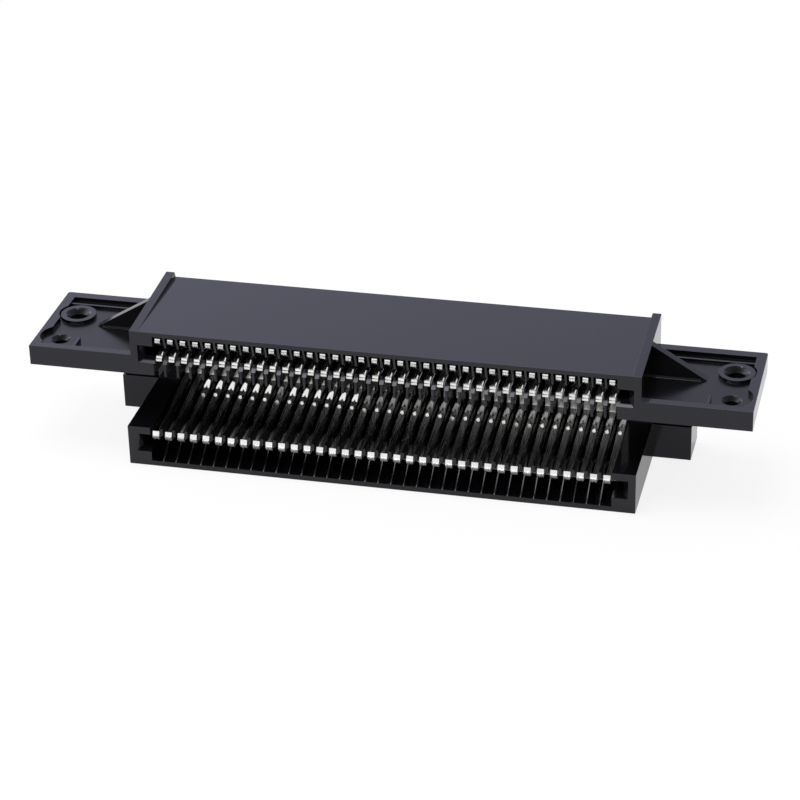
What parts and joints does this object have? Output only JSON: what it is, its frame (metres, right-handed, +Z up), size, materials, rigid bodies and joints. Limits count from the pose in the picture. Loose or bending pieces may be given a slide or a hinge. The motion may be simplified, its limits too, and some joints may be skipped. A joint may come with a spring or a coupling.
{
  "type": "cartridge slot connector",
  "caption": "Black double edge connector: an upper cartridge slot over a forward lower board slot, rows of bent spring contacts, and a fixing wing at each end.",
  "frame": {"origin": "middle of the underside of the bounding box, on the underside of the lower slot box", "axes": "+X along the rows of contacts, +Y from the open slots towards the back, +Z up from the lower slot to the upper slot"},
  "size_m": [0.1396, 0.0288, 0.0272],
  "materials": {
    "housing": "black glass-filled polyester moulding, semi-gloss",
    "contacts": "bright nickel and tin plating over a stamped copper alloy spring strip"
  },
  "bodies": {
    "root": {"housing": "housing", "inner_contacts_01_02": "contacts", "inner_contacts_03_04": "contacts", "inner_contacts_05_06": "contacts", "inner_contacts_07_08": "contacts", "inner_contacts_09_10": "contacts", "inner_contacts_11_12": "contacts", "inner_contacts_13_14": "contacts", "inner_contacts_15_16": "contacts", "inner_contacts_17_18": "contacts", "inner_contacts_19_20": "contacts", "inner_contacts_21_22": "contacts", "inner_contacts_23_24": "contacts", "inner_contacts_25_26": "contacts", "inner_contacts_27_28": "contacts", "inner_contacts_29_30": "contacts", "inner_contacts_31_32": "contacts", "inner_contacts_33_34": "contacts", "inner_contacts_35_36": "contacts", "outer_contacts_01_02": "contacts", "outer_contacts_03_04": "contacts", "outer_contacts_05_06": "contacts", "outer_contacts_07_08": "contacts", "outer_contacts_09_10": "contacts", "outer_contacts_11_12": "contacts", "outer_contacts_13_14": "contacts", "outer_contacts_15_16": "contacts", "outer_contacts_17_18": "contacts", "outer_contacts_19_20": "contacts", "outer_contacts_21_22": "contacts", "outer_contacts_23_24": "contacts", "outer_contacts_25_26": "contacts", "outer_contacts_27_28": "contacts", "outer_contacts_29_30": "contacts", "outer_contacts_31_32": "contacts", "outer_contacts_33_34": "contacts", "outer_contacts_35_36": "contacts"}
  },
  "joints": []
}
